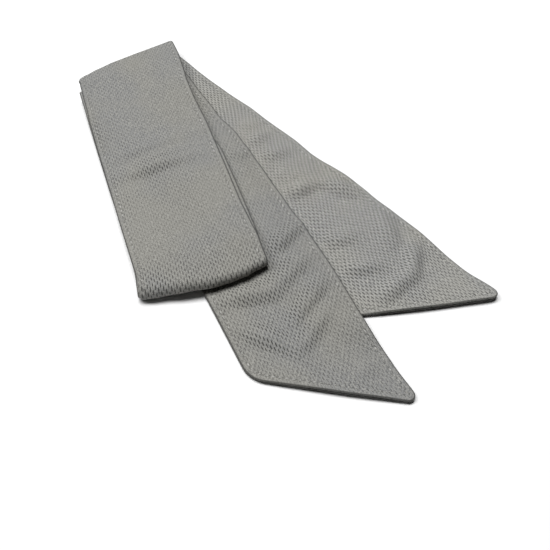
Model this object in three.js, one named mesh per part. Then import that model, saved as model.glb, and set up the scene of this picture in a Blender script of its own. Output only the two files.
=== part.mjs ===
// Cooling towel: a long strip of knitted cloth, two panels sewn face to face, folded three times and laid flat.
// Millimetres, +Z up. The origin is the middle of the footprint, on the surface that the towel lies on.
// Read from its near point, the strip runs as near tail, hidden run, top run and far tail, with a fold
// after each of the first three. "Along" is measured that way, "across" from the long edge to the short one.

import * as THREE from "three";

// Driving sizes of the cloth, in millimetres
const width = 70; // between the two long edges
const panelThickness = 1.2;
const panelGap = 0.3; // air between the two panels
const layerGap = 0.5; // air between one layer of the folded strip and the next
const endAngle = 54.2; // degrees between a cut end and the long edge
const pointRadius = 4; // rounding of the sharp corner of each end
const bluntRadius = 16; // rounding of the other corner of each end
const rimWidth = 2.1; // how far in from an edge the outer face rounds off
const rimShare = 0.75; // share of the panel's thickness that is left at the very edge

// Driving sizes of the folded shape, in millimetres
const nearTailLength = 282; // point to inner fold, on the long edge
const topRunLength = 197; // front fold to outer fold, on the long edge
const farTailLength = 284.6; // outer fold to point, on the long edge
const innerFoldInset = 22; // the inner fold stops this far inside the outer one
const hiddenRunSlip = 0.5; // the hidden run lies this far out from under the top run
const drape = 24; // how far a layer takes to come down past an edge below it
const hiddenDrape = 26; // the same for the hidden run over the far tail
const topDrape = 26; // the same for the top run
const bridge = 100; // how far the top run takes to come down past the inner fold
const edgeMargin = 3; // a layer starts to come down this far past the edge below it
const contactSoftness = 0.3; // height over which a dip eases into lying flat on its support
const frontPuff = 4; // extra height of the loop at the front fold, at the short edge
const longEdgePuff = 1.2; // the same at the long edge
const frontPuffReach = 110; // how far back from the front fold it is felt
const foldBow = 4.5; // how far the front fold bows out past the straight line between its corners
const foldBowReach = 40; // how far back from a fold its bow is felt
const crown = 1.6; // how far the middle of a bare tail stands off what it lies on
const foldHeight = 2.5; // height of a soft fold whose share is 1
const exposureFade = 9; // soft folds die out over this length beside the layer that covers them

// Headings on the table in degrees, anticlockwise from +X
const topRunHeading = 109.9;
const outerFoldSkew = 12; // each fold line is turned this far from square to the top run
const frontFoldSkew = -5.7;
const innerFoldSkew = 4;
const nearTailTurn = 6.5; // the near tail is turned this far from the top run

// How finely the cloth is faceted
const bareStep = 8.6; // millimetres between sections of the runs that show
const hiddenStep = 12;
const acrossShares = [0, 0.03, 0.1, 0.21, 0.35, 0.5, 0.65, 0.79, 0.9, 0.97, 1];
const endSteps = [0, 0.01, 0.03, 0.065, 0.12]; // first sections of a cut end, as shares of the width
const skewReach = 1.6; // sections turn square again over this many widths beside a cut or a fold
const loopSteps = { inner: 6, front: 8, outer: 10 };

const clothThickness = 2 * panelThickness + panelGap;
const layerStep = clothThickness + layerGap;
const hiddenRunLength = topRunLength - innerFoldInset;

// Outline of each run: at a share of its length the long edge lies this share of the width inwards, and
// the cloth is stretched wider by this share
const outlines = {
  nearTail: [
    { at: 0, inward: -0.033, wider: 0 },
    { at: 0.09, inward: -0.01, wider: 0 },
    { at: 0.18, inward: 0.002, wider: -0.012 },
    { at: 0.33, inward: -0.014, wider: 0.004 },
    { at: 0.42, inward: -0.008, wider: 0 },
    { at: 0.5, inward: 0.01, wider: 0 },
    { at: 0.6, inward: 0.022, wider: 0 },
    { at: 0.73, inward: 0.044, wider: 0 },
    { at: 0.82, inward: 0.102, wider: -0.02 },
    { at: 0.93, inward: 0.133, wider: 0 },
    { at: 1, inward: 0.148, wider: 0.024 },
  ],
  hiddenRun: [
    { at: 0, inward: 0, wider: 0.024 },
    { at: 0.1, inward: 0.03, wider: -0.006 },
    { at: 0.36, inward: 0.03, wider: -0.006 },
    { at: 0.5, inward: -0.023, wider: 0.045 },
    { at: 0.64, inward: -0.023, wider: 0.04 },
    { at: 0.85, inward: -0.02, wider: 0.038 },
    { at: 1, inward: 0.007, wider: 0.043 },
  ],
  topRun: [
    { at: 0, inward: 0, wider: 0.043 },
    { at: 0.04, inward: 0, wider: 0.027 },
    { at: 0.08, inward: -0.005, wider: 0.017 },
    { at: 0.14, inward: 0.006, wider: 0.006 },
    { at: 0.22, inward: 0.013, wider: 0 },
    { at: 0.4, inward: 0.007, wider: 0.004 },
    { at: 0.56, inward: 0.007, wider: 0.004 },
    { at: 0.7, inward: 0.021, wider: -0.014 },
    { at: 0.78, inward: 0.019, wider: -0.02 },
    { at: 0.87, inward: 0.002, wider: -0.008 },
    { at: 0.93, inward: -0.008, wider: -0.01 },
    { at: 1, inward: -0.003, wider: -0.045 },
  ],
  farTail: [
    { at: 0, inward: -0.004, wider: -0.03 },
    { at: 0.13, inward: 0.014, wider: 0 },
    { at: 0.2, inward: 0.009, wider: 0 },
    { at: 0.28, inward: -0.009, wider: 0 },
    { at: 0.34, inward: -0.004, wider: 0 },
    { at: 0.42, inward: -0.012, wider: 0 },
    { at: 0.48, inward: 0.004, wider: 0 },
    { at: 0.58, inward: -0.034, wider: 0.02 },
    { at: 0.68, inward: -0.013, wider: 0.01 },
    { at: 0.77, inward: -0.013, wider: 0.01 },
    { at: 0.9, inward: 0.03, wider: -0.02 },
    { at: 0.97, inward: 0.012, wider: 0 },
    { at: 1, inward: 0, wider: 0 },
  ],
};

// Bow of each fold line: across the width, how far it stands out, as a share of the fold bow
const foldBows = {
  front: [
    { across: 0, out: -0.2 },
    { across: 0.08, out: 0.05 },
    { across: 0.2, out: 0.48 },
    { across: 0.33, out: 0.82 },
    { across: 0.45, out: 1 },
    { across: 0.62, out: 0.75 },
    { across: 0.85, out: 0.24 },
    { across: 0.95, out: 0.05 },
    { across: 1, out: -0.45 },
  ],
  outer: [
    { across: 0.6, out: 0 },
    { across: 0.8, out: -0.36 },
    { across: 0.92, out: -0.62 },
    { across: 0.965, out: -0.85 },
    { across: 1, out: -1.5 },
  ],
};

// Soft folds: middle at shares of the run's length and of the width, turned from square to the run in
// degrees, half length and half width as shares of the width, height as a share of the fold height
const softFolds = {
  nearTail: [
    { at: 0.717, across: 0.12, turn: -20, half: 0.14, spread: 0.12, height: 0.4 },
    { at: 0.68, across: 0.11, turn: -7, half: 0.3, spread: 0.12, height: 0.6 },
    { at: 0.421, across: 0.25, turn: -24, half: 0.46, spread: 0.1, height: 1.1 },
    { at: 0.339, across: 0.69, turn: 18, half: 0.36, spread: 0.13, height: 1.2 },
    { at: 0.348, across: 0.33, turn: -23, half: 0.35, spread: 0.12, height: 0.8 },
    { at: 0.27, across: 0.33, turn: -31, half: 0.38, spread: 0.1, height: 1 },
    { at: 0.215, across: 0.4, turn: -33, half: 0.34, spread: 0.11, height: 0.9 },
    { at: 0.239, across: 0.73, turn: 48, half: 0.36, spread: 0.12, height: 1 },
    { at: 0.104, across: 0.19, turn: -8, half: 0.15, spread: 0.1, height: 0.3 },
  ],
  hiddenRun: [],
  topRun: [
    { at: 0.536, across: 0.47, turn: -4, half: 0.7, spread: 0.1, height: 0.35 },
    { at: 0.45, across: 0.56, turn: 0, half: 0.58, spread: 0.12, height: 0.85 },
    { at: 1, across: 1, turn: 0, half: 0.24, spread: 0.3, height: -1.2 },
  ],
  farTail: [
    { at: 0.317, across: 0.18, turn: -16, half: 0.18, spread: 0.08, height: 0.6 },
    { at: 0.362, across: 0.27, turn: -4, half: 0.26, spread: 0.09, height: 0.9 },
    { at: 0.422, across: 0.28, turn: -16, half: 0.3, spread: 0.1, height: 0.9 },
    { at: 0.492, across: 0.34, turn: -31, half: 0.22, spread: 0.1, height: 0.35 },
    { at: 0.535, across: 0.43, turn: -14, half: 0.32, spread: 0.11, height: 1.4 },
    { at: 0.592, across: 0.15, turn: -68, half: 0.32, spread: 0.11, height: 1.3 },
    { at: 0.736, across: 0.2, turn: 56, half: 0.3, spread: 0.13, height: 1 },
    { at: 0.686, across: 0.55, turn: -28, half: 0.28, spread: 0.1, height: 0.8 },
    { at: 0.762, across: 0.63, turn: -34, half: 0.32, spread: 0.1, height: 0.9 },
    { at: 0.7, across: 0.35, turn: 0, half: 0.6, spread: 0.55, height: 0.4 },
    { at: 0.821, across: 0.27, turn: 36, half: 0.27, spread: 0.11, height: 1.5 },
    { at: 0.838, across: 0.54, turn: -2, half: 0.32, spread: 0.11, height: 1.4 },
    { at: 0.985, across: 0.05, turn: -35, half: 0.4, spread: 0.3, height: 0.4 },
  ],
};

const foldsOf = {
  nearTail: { endFold: "inner" },
  hiddenRun: { startFold: "inner", endFold: "front" },
  topRun: { startFold: "front", endFold: "outer" },
  farTail: { startFold: "outer" },
};

const radians = Math.PI / 180;
const angleSlack = 1e-6;

function direction(degrees) {
  return new THREE.Vector2(Math.cos(degrees * radians), Math.sin(degrees * radians));
}

function clamp01(value) {
  return Math.min(1, Math.max(0, value));
}

function smooth(value) {
  const share = clamp01(value);
  return share * share * (3 - 2 * share);
}

function bump(value) {
  return Math.abs(value) < 1 ? (1 + Math.cos(Math.PI * value)) / 2 : 0;
}

// Eases a height that would dip below its support to a smooth touch
function restOnSupport(height) {
  return height <= 0 ? 0 : (height * height) / (height + contactSoftness);
}

// A run lies on the table as a straight frame; side is 1 where the front panel faces up
function makeRun(name, start, heading, length, side, startLine, endLine) {
  const along = direction(heading);
  const across = direction(heading + 90 * side);
  const slope = (line) => (line ? line.dot(along) / line.dot(across) : 0);
  return { name, start, along, across, length, startSlope: slope(startLine), endSlope: slope(endLine) };
}

// Column of a table at a place of its key column, eased from row to row
function eased(rows, key, column, at) {
  const place = THREE.MathUtils.clamp(at, rows[0][key], rows[rows.length - 1][key]);
  const next = Math.max(1, rows.findIndex((row) => row[key] >= place));
  const before = rows[next - 1];
  const after = rows[next];
  const part = smooth((place - before[key]) / (after[key] - before[key]));
  return before[column] + (after[column] - before[column]) * part;
}

function outlineAt(run, a) {
  const rows = outlines[run.name];
  const share = a / run.length;
  return { inward: eased(rows, "at", "inward", share) * width, stretch: 1 + eased(rows, "at", "wider", share) };
}

function toTable(run, a, t) {
  const { inward, stretch } = outlineAt(run, a);
  return run.start.clone().addScaledVector(run.along, a).addScaledVector(run.across, t * stretch + inward);
}

function toRun(run, point) {
  const offset = point.clone().sub(run.start);
  const a = offset.dot(run.along);
  const { inward, stretch } = outlineAt(run, a);
  return { a, t: (offset.dot(run.across) - inward) / stretch };
}

function layRuns() {
  const square = topRunHeading + 90;
  const outerLine = direction(square + outerFoldSkew);
  const frontLine = direction(square + frontFoldSkew);
  const innerLine = direction(square + innerFoldSkew);
  const cutSlope = 1 / Math.tan(endAngle * radians);
  const frontCorner = new THREE.Vector2(0, 0);
  const topRun = makeRun("topRun", frontCorner, topRunHeading, topRunLength, 1, frontLine, outerLine);
  const outerCorner = toTable(topRun, topRunLength, 0);
  const farHeading = topRunHeading + 2 * outerFoldSkew + 180;
  const farTail = makeRun("farTail", outerCorner, farHeading, farTailLength, -1, outerLine, null);
  farTail.endSlope = -cutSlope;
  const innerCorner = toTable(topRun, hiddenRunLength, -hiddenRunSlip);
  const hiddenHeading = topRunHeading + 180;
  const hiddenRun = makeRun("hiddenRun", innerCorner, hiddenHeading, hiddenRunLength, -1, innerLine, frontLine);
  const nearHeading = topRunHeading + nearTailTurn;
  const nearTail = makeRun("nearTail", innerCorner, nearHeading, nearTailLength, 1, null, innerLine);
  nearTail.start = innerCorner
    .clone()
    .addScaledVector(nearTail.along, -nearTailLength)
    .addScaledVector(nearTail.across, -outlineAt(nearTail, nearTailLength).inward);
  nearTail.startSlope = cutSlope;
  return { nearTail, hiddenRun, topRun, farTail };
}

const runs = layRuns();

function foldOut(fold, t) {
  return fold in foldBows ? foldBow * eased(foldBows[fold], "across", "out", t / width) : 0;
}

// 1 over a run and just beside it, falling to 0 over the given lengths past its sides and its two ends
function cover(run, point, sides, start, end) {
  const { a, t } = toRun(run, point);
  const fade = (distance, length) => 1 - smooth((distance - edgeMargin) / length);
  const pastSide = Math.max(-t, t - width);
  const { startFold, endFold } = foldsOf[run.name];
  const pastStart = (run.startSlope * t - foldOut(startFold, t) - a) / Math.hypot(1, run.startSlope);
  const pastEnd = (a - run.length - run.endSlope * t - foldOut(endFold, t)) / Math.hypot(1, run.endSlope);
  return fade(pastSide, sides) * fade(pastStart, start) * fade(pastEnd, end);
}

function underlay(run, point, fall) {
  return cover(run, point, fall, fall, fall);
}

function softFoldHeight(run, a, t) {
  let height = 0;
  for (const fold of softFolds[run.name]) {
    const da = a - fold.at * run.length;
    const dt = t - fold.across * width;
    const cos = Math.cos(fold.turn * radians);
    const sin = Math.sin(fold.turn * radians);
    const endwise = (dt * cos + da * sin) / (fold.half * width);
    const sideways = (da * cos - dt * sin) / (fold.spread * width);
    height += fold.height * foldHeight * bump(endwise) * bump(sideways);
  }
  return height;
}

function bareRelief(run, point) {
  const { a, t } = toRun(run, point);
  const arch = crown * Math.sin(Math.PI * clamp01(t / width));
  return restOnSupport(arch + softFoldHeight(run, a, t));
}

function exposure(run, point) {
  return 1 - cover(run, point, exposureFade, exposureFade, exposureFade);
}

function puffAt(point) {
  const { a, t } = toRun(runs.topRun, point);
  const height = longEdgePuff + (frontPuff - longEdgePuff) * clamp01(t / width);
  return height * bump(Math.max(0, a) / frontPuffReach);
}

// Height of the middle of the cloth above the table, run by run
const middleHeight = {
  farTail(point) {
    const bare = Math.min(exposure(runs.nearTail, point), exposure(runs.topRun, point));
    return clothThickness / 2 + bare * bareRelief(runs.farTail, point);
  },
  nearTail(point) {
    const bare = exposure(runs.topRun, point);
    const support = layerStep * underlay(runs.farTail, point, drape);
    return clothThickness / 2 + support + bare * bareRelief(runs.nearTail, point);
  },
  hiddenRun(point) {
    const support = underlay(runs.farTail, point, hiddenDrape) + underlay(runs.nearTail, point, drape);
    return clothThickness / 2 + layerStep * support;
  },
  topRun(point) {
    const { a, t } = toRun(runs.topRun, point);
    const near = cover(runs.nearTail, point, topDrape, topDrape, bridge);
    const hidden = cover(runs.hiddenRun, point, topDrape, bridge, topDrape);
    const layers = underlay(runs.farTail, point, topDrape) + near + hidden;
    const relief = softFoldHeight(runs.topRun, a, t);
    return clothThickness / 2 + layerStep * layers + puffAt(point) + relief;
  },
};

// Distance from the run's cut end, or Infinity where it has none
function cutDistance(run, a, t) {
  const angle = endAngle * radians;
  if (run.name === "nearTail") return a * Math.sin(angle) - t * Math.cos(angle);
  if (run.name === "farTail") return (run.length - a) * Math.sin(angle) - t * Math.cos(angle);
  return Infinity;
}

// Pulls the two corners of a cut end onto their roundings; inset is measured along from the cut
function roundCorners(run, a, t) {
  const fromCut = cutDistance(run, a, t);
  if (fromCut === Infinity) return { a, t };
  const atStart = run.name === "nearTail";
  const inset = atStart ? a : run.length - a;
  const angle = endAngle * radians;
  const cutNormal = new THREE.Vector2(-Math.sin(angle), Math.cos(angle));
  const corners = [
    { radius: pointRadius, edge: 0, inwards: 1, opening: angle },
    { radius: bluntRadius, edge: width, inwards: -1, opening: Math.PI - angle },
  ];
  for (const corner of corners) {
    if (Math.min(Math.abs(t - corner.edge), fromCut) > corner.radius) continue;
    const centreT = corner.edge + corner.inwards * corner.radius;
    const centreInset = (corner.radius + centreT * Math.cos(angle)) / Math.sin(angle);
    const centre = new THREE.Vector2(centreInset, centreT);
    const offset = new THREE.Vector2(inset, t).sub(centre);
    if (offset.length() === 0) continue;
    const edgeNormal = new THREE.Vector2(0, -corner.inwards);
    const toEdge = Math.acos(THREE.MathUtils.clamp(offset.dot(edgeNormal) / offset.length(), -1, 1));
    const toCut = Math.acos(THREE.MathUtils.clamp(offset.dot(cutNormal) / offset.length(), -1, 1));
    if (toEdge + toCut > Math.PI - corner.opening + angleSlack) continue;
    const rounded = centre.addScaledVector(offset, Math.cos(Math.min(toEdge, toCut)));
    return { a: atStart ? rounded.x : run.length - rounded.x, t: rounded.y };
  }
  return { a, t };
}

function clothPoint(run, a, t) {
  const point = toTable(run, a, t);
  return new THREE.Vector3(point.x, point.y, middleHeight[run.name](point));
}

// How far the bows of a run's two fold lines move a point of it along the run
function bowAt(run, t, longA) {
  const fade = (distance) => 1 - smooth(distance / foldBowReach);
  const { startFold, endFold } = foldsOf[run.name];
  return foldOut(endFold, t) * fade(run.length - longA) - foldOut(startFold, t) * fade(longA);
}

// One section of a run: plain points give the normals, shaped ones have the corners rounded
function sectionOf(run, longA, slope) {
  const points = acrossShares.map((share) => {
    const t = share * width;
    const a = longA + slope * t + bowAt(run, t, longA);
    const shaped = roundCorners(run, a, t);
    return {
      plain: clothPoint(run, a, t),
      shaped: clothPoint(run, shaped.a, shaped.t),
      rim: Math.min(t, width - t, cutDistance(run, a, t)),
    };
  });
  return points;
}

// Where the sections of a run start on its long edge
function stations(run, step) {
  const places = [];
  const fine = endSteps.map((share) => share * width);
  const first = run.name === "nearTail" ? fine : [0];
  const last = run.name === "farTail" ? fine.map((inset) => run.length - inset).reverse() : [run.length];
  const from = first[first.length - 1];
  const to = last[0];
  const count = Math.max(1, Math.round((to - from) / step));
  places.push(...first);
  for (let i = 1; i < count; i += 1) places.push(from + ((to - from) * i) / count);
  places.push(...last);
  return places;
}

function runSections(run, step) {
  const reach = skewReach * width;
  return stations(run, step).map((a) => {
    const nearStart = 1 - smooth(a / Math.min(reach, run.length / 2));
    const nearEnd = 1 - smooth((run.length - a) / Math.min(reach, run.length / 2));
    return sectionOf(run, a, run.startSlope * nearStart + run.endSlope * nearEnd);
  });
}

// The loop of cloth at a fold, from the last section of one run to the first of the next
function loopSectionsOf(run, before, after, count) {
  const lastColumn = before.length - 1;
  const line = before[lastColumn].plain.clone().sub(before[0].plain).setZ(0).normalize();
  const outward = new THREE.Vector3(-line.y, line.x, 0);
  if (outward.x * run.along.x + outward.y * run.along.y < 0) outward.negate();
  return Array.from({ length: count - 1 }, (_, i) => {
    const turn = (Math.PI * (i + 1)) / count;
    return before.map((from, j) => {
      const start = from.plain;
      const end = after[j].plain;
      const radius = Math.abs(end.z - start.z) / 2;
      const point = start.clone().lerp(end, (i + 1) / count);
      point.addScaledVector(outward, radius * Math.sin(turn));
      point.z = (start.z + end.z) / 2 - ((end.z - start.z) / 2) * Math.cos(turn);
      return { plain: point, shaped: point, rim: Math.min(acrossShares[j], 1 - acrossShares[j]) * width };
    });
  });
}

function foldedSections() {
  const { nearTail, hiddenRun, topRun, farTail } = runs;
  const near = runSections(nearTail, bareStep);
  const hidden = runSections(hiddenRun, hiddenStep);
  const top = runSections(topRun, bareStep);
  const far = runSections(farTail, bareStep);
  return [
    ...near,
    ...loopSectionsOf(nearTail, near[near.length - 1], hidden[0], loopSteps.inner),
    ...hidden,
    ...loopSectionsOf(hiddenRun, hidden[hidden.length - 1], top[0], loopSteps.front),
    ...top,
    ...loopSectionsOf(topRun, top[top.length - 1], far[0], loopSteps.outer),
    ...far,
  ];
}

function normalAt(sections, i, j) {
  const last = sections.length - 1;
  const side = acrossShares.length - 1;
  const ahead = sections[Math.min(i + 1, last)][j].plain.clone().sub(sections[Math.max(i - 1, 0)][j].plain);
  const aside = sections[i][Math.min(j + 1, side)].plain.clone().sub(sections[i][Math.max(j - 1, 0)].plain);
  return ahead.cross(aside).normalize();
}

// A panel is the closed skin between an inner and an outer offset of the middle of the cloth
function panelGeometry(sections, side) {
  const columns = acrossShares.length;
  const positions = [];
  const layers = [];
  for (const outer of [false, true]) {
    layers.push(positions.length / 3);
    sections.forEach((section, i) => section.forEach(({ shaped, rim }, j) => {
      const inset = 1 - clamp01(rim / rimWidth);
      const full = rimShare + (1 - rimShare) * Math.sqrt(1 - inset * inset);
      const offset = panelGap / 2 + (outer ? panelThickness * full : 0);
      const point = shaped.clone().addScaledVector(normalAt(sections, i, j), side * offset);
      positions.push(point.x, point.y, point.z);
    }));
  }
  const [inner, outer] = layers;
  const at = (layer, i, j) => layer + i * columns + j;
  const faces = [];
  const quad = (a, b, c, d) => (side > 0 ? faces.push(a, b, c, a, c, d) : faces.push(a, c, b, a, d, c));
  for (let i = 0; i < sections.length - 1; i += 1) {
    for (let j = 0; j < columns - 1; j += 1) {
      quad(at(outer, i, j), at(outer, i + 1, j), at(outer, i + 1, j + 1), at(outer, i, j + 1));
      quad(at(inner, i, j), at(inner, i, j + 1), at(inner, i + 1, j + 1), at(inner, i + 1, j));
    }
    const far = columns - 1;
    quad(at(inner, i, 0), at(inner, i + 1, 0), at(outer, i + 1, 0), at(outer, i, 0));
    quad(at(outer, i, far), at(outer, i + 1, far), at(inner, i + 1, far), at(inner, i, far));
  }
  const end = sections.length - 1;
  for (let j = 0; j < columns - 1; j += 1) {
    quad(at(outer, 0, j), at(outer, 0, j + 1), at(inner, 0, j + 1), at(inner, 0, j));
    quad(at(inner, end, j), at(inner, end, j + 1), at(outer, end, j + 1), at(outer, end, j));
  }
  const geometry = new THREE.BufferGeometry();
  geometry.setAttribute("position", new THREE.Float32BufferAttribute(positions, 3));
  geometry.setIndex(faces);
  return geometry;
}

function makePanel(name, sections, side) {
  const knit = new THREE.MeshStandardMaterial({ color: 0x95948d, roughness: 0.9, metalness: 0 });
  const panel = new THREE.Mesh(panelGeometry(sections, side), knit);
  panel.name = name;
  return panel;
}

function makeTowel() {
  const towel = new THREE.Group();
  const sections = foldedSections();
  towel.add(makePanel("front_panel", sections, 1), makePanel("back_panel", sections, -1));
  const box = new THREE.Box3().setFromObject(towel);
  const middle = box.getCenter(new THREE.Vector3());
  towel.position.set(-middle.x, -middle.y, -box.min.z);
  return towel;
}

export default makeTowel();
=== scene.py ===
"""Cooling towel: the knitted cloth, hems and topstitching of a folded strip, dressed over its CAD panels.

Metres, +Z up. Read from its near point, the strip runs as near tail, hidden run, top run and far tail,
with a fold after each of the first three. "Along" is measured that way, "across" from the long edge to
the short one. The folded shape repeats the named sizes and tables of the part's source.
"""
import math
from collections import namedtuple

import bpy
import numpy as np
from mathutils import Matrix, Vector, noise


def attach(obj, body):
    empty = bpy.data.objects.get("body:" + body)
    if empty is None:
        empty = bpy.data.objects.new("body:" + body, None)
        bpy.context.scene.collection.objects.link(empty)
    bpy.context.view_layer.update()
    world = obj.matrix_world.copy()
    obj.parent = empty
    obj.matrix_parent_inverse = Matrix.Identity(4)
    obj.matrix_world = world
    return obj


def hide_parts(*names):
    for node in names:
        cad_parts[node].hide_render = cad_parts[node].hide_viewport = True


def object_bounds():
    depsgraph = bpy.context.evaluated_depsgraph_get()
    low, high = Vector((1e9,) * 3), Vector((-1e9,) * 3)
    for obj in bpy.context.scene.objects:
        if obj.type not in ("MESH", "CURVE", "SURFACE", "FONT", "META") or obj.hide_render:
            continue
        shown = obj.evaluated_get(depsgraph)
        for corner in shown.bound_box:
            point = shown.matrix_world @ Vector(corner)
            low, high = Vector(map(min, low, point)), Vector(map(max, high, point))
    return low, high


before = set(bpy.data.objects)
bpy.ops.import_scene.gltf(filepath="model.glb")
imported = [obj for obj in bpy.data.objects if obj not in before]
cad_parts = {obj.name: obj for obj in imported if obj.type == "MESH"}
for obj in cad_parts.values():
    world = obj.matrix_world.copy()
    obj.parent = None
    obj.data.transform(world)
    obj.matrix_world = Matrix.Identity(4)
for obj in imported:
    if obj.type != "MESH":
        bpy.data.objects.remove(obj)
cad_low, cad_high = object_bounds()

MM = 0.001

# Sizes of the cloth
WIDTH = 70 * MM
PANEL_THICKNESS = 1.2 * MM
PANEL_GAP = 0.3 * MM
LAYER_GAP = 0.5 * MM
END_ANGLE = math.radians(54.2)
POINT_RADIUS = 4 * MM
BLUNT_RADIUS = 16 * MM

# Sizes of the folded shape
NEAR_TAIL_LENGTH = 282 * MM
TOP_RUN_LENGTH = 197 * MM
FAR_TAIL_LENGTH = 284.6 * MM
INNER_FOLD_INSET = 22 * MM
HIDDEN_RUN_SLIP = 0.5 * MM
DRAPE = 24 * MM
HIDDEN_DRAPE = 26 * MM
TOP_DRAPE = 26 * MM
BRIDGE = 100 * MM
EDGE_MARGIN = 3 * MM
CONTACT_SOFTNESS = 0.3 * MM
FRONT_PUFF = 4 * MM
LONG_EDGE_PUFF = 1.2 * MM
FRONT_PUFF_REACH = 110 * MM
FOLD_BOW = 4.5 * MM
FOLD_BOW_REACH = 40 * MM
CROWN = 1.6 * MM
FOLD_HEIGHT = 2.5 * MM
EXPOSURE_FADE = 9 * MM
HIDDEN_RUN_LENGTH = TOP_RUN_LENGTH - INNER_FOLD_INSET
CLOTH_THICKNESS = 2 * PANEL_THICKNESS + PANEL_GAP
LAYER_STEP = CLOTH_THICKNESS + LAYER_GAP

# Headings on the table, anticlockwise from +X
TOP_RUN_HEADING = math.radians(109.9)
OUTER_FOLD_SKEW = math.radians(12)
FRONT_FOLD_SKEW = math.radians(-5.7)
INNER_FOLD_SKEW = math.radians(4)
NEAR_TAIL_TURN = math.radians(6.5)

# Sewing and knit
SEAM_INSET = 3.3 * MM
STITCH_PITCH = 3.5 * MM
STITCH_LENGTH = 2.1 * MM
STITCH_RADIUS = 0.3 * MM
KNIT_ALONG = 3.7 * MM
KNIT_ACROSS = 2.8 * MM
PIT_LENGTH = 2.8 * MM
PIT_WIDTH = 0.8 * MM

# How far the pits of the mesh open, which deepens them and darkens them with painted shade: on each run
# where it lies flat, by how much more at the front fold, and where the cloth leans so far that the upright
# share of its normal has dropped by the steep share, which stands for pits falling into shade on slopes
GAPE_AND_SHADE = {"near_tail": 0.58, "hidden_run": 0.3, "top_run": 0.45, "far_tail": 0.95}
FRONT_GAPE_AND_SHADE = 0.45
FRONT_GAPE_REACH = 30 * MM
STEEP_GAPE_AND_SHADE = 1.2
STEEP_SHARE = 0.065

# Brightness of each face of the cloth, partly its own tone and partly painted light, and the colours of the
# yarn, linear
FACE_TONE_AND_LIGHT = {"front": 0.95, "back": 1.16}
KNIT_WARM = (0.262, 0.257, 0.235, 1)
KNIT_COOL = (0.240, 0.242, 0.241, 1)
KNIT_LIGHT = (0.37, 0.365, 0.335, 1)
# Dark yarn, and the painted shade in the pits and needle holes
DARK_YARN_AND_SHADE = (0.06, 0.06, 0.055, 1)
# Painted shade along the rims and walls of the panels
PAINTED_RIM_SHADE = (0.03, 0.03, 0.028, 1)
THREAD_DARK = (0.24, 0.236, 0.22, 1)
THREAD_LIGHT = (0.56, 0.555, 0.53, 1)
FLOOR_COLOUR = (0.88, 0.88, 0.88, 1)

# Lights, with their places and sizes in metres and their power in watts
Lamp = namedtuple("Lamp", "name place size power")
LAMPS = [
    Lamp("key", (-0.2, 0.62, 2.6), 1.4, 68),
    Lamp("left", (-1.45, 0.4, 2.1), 1.0, 30),
]
WORLD_STRENGTH = 0.012
FLOOR_SIZE = 6.0
FLOOR_DROP = 0.05 * MM

# Fineness of the cloth meshes
SECTION_STEP = 1.8 * MM
HIDDEN_STEP = 4 * MM
COLUMN_STEP = 1.35 * MM
SKEW_REACH = 1.6 * WIDTH
LOOP_STEPS = {"inner": 14, "front": 22, "outer": 26}
STITCH_STEPS = 6
STITCH_SIDES = 6
RIM_STEPS = (0.0, 0.12, 0.35, 0.7, 1.1, 1.6, 2.2, 2.8, 3.3, 3.8, 4.5, 5.4)  # millimetres in from an edge
FAR_OFF = 1.0  # stands for the distance to a cut end that a run doesn't have
ROUNDING = 1e-6

# The cloth's maps are in centimetres
MAP_UNITS_PER_METRE = 100
MM_PER_MAP_UNIT = 10.0

# Outline of each run: at a share of its length the long edge lies this share of the width inwards, and
# the cloth is stretched wider by this share
Edge = namedtuple("Edge", "at inward wider")
OUTLINES = {
    "near_tail": [
        Edge(0, -0.033, 0),
        Edge(0.09, -0.01, 0),
        Edge(0.18, 0.002, -0.012),
        Edge(0.33, -0.014, 0.004),
        Edge(0.42, -0.008, 0),
        Edge(0.5, 0.01, 0),
        Edge(0.6, 0.022, 0),
        Edge(0.73, 0.044, 0),
        Edge(0.82, 0.102, -0.02),
        Edge(0.93, 0.133, 0),
        Edge(1, 0.148, 0.024),
    ],
    "hidden_run": [
        Edge(0, 0, 0.024),
        Edge(0.1, 0.03, -0.006),
        Edge(0.36, 0.03, -0.006),
        Edge(0.5, -0.023, 0.045),
        Edge(0.64, -0.023, 0.04),
        Edge(0.85, -0.02, 0.038),
        Edge(1, 0.007, 0.043),
    ],
    "top_run": [
        Edge(0, 0, 0.043),
        Edge(0.04, 0, 0.027),
        Edge(0.08, -0.005, 0.017),
        Edge(0.14, 0.006, 0.006),
        Edge(0.22, 0.013, 0),
        Edge(0.4, 0.007, 0.004),
        Edge(0.56, 0.007, 0.004),
        Edge(0.7, 0.021, -0.014),
        Edge(0.78, 0.019, -0.02),
        Edge(0.87, 0.002, -0.008),
        Edge(0.93, -0.008, -0.01),
        Edge(1, -0.003, -0.045),
    ],
    "far_tail": [
        Edge(0, -0.004, -0.03),
        Edge(0.13, 0.014, 0),
        Edge(0.2, 0.009, 0),
        Edge(0.28, -0.009, 0),
        Edge(0.34, -0.004, 0),
        Edge(0.42, -0.012, 0),
        Edge(0.48, 0.004, 0),
        Edge(0.58, -0.034, 0.02),
        Edge(0.68, -0.013, 0.01),
        Edge(0.77, -0.013, 0.01),
        Edge(0.9, 0.03, -0.02),
        Edge(0.97, 0.012, 0),
        Edge(1, 0, 0),
    ],
}

# Bow of each fold line: across the width, how far it stands out, as a share of the fold bow
Bow = namedtuple("Bow", "across out")
FOLD_BOWS = {
    "front": [
        Bow(0, -0.2),
        Bow(0.08, 0.05),
        Bow(0.2, 0.48),
        Bow(0.33, 0.82),
        Bow(0.45, 1),
        Bow(0.62, 0.75),
        Bow(0.85, 0.24),
        Bow(0.95, 0.05),
        Bow(1, -0.45),
    ],
    "outer": [
        Bow(0.6, 0),
        Bow(0.8, -0.36),
        Bow(0.92, -0.62),
        Bow(0.965, -0.85),
        Bow(1, -1.5),
    ],
}
START_FOLD = {"hidden_run": "inner", "top_run": "front", "far_tail": "outer"}
END_FOLD = {"near_tail": "inner", "hidden_run": "front", "top_run": "outer"}

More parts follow.
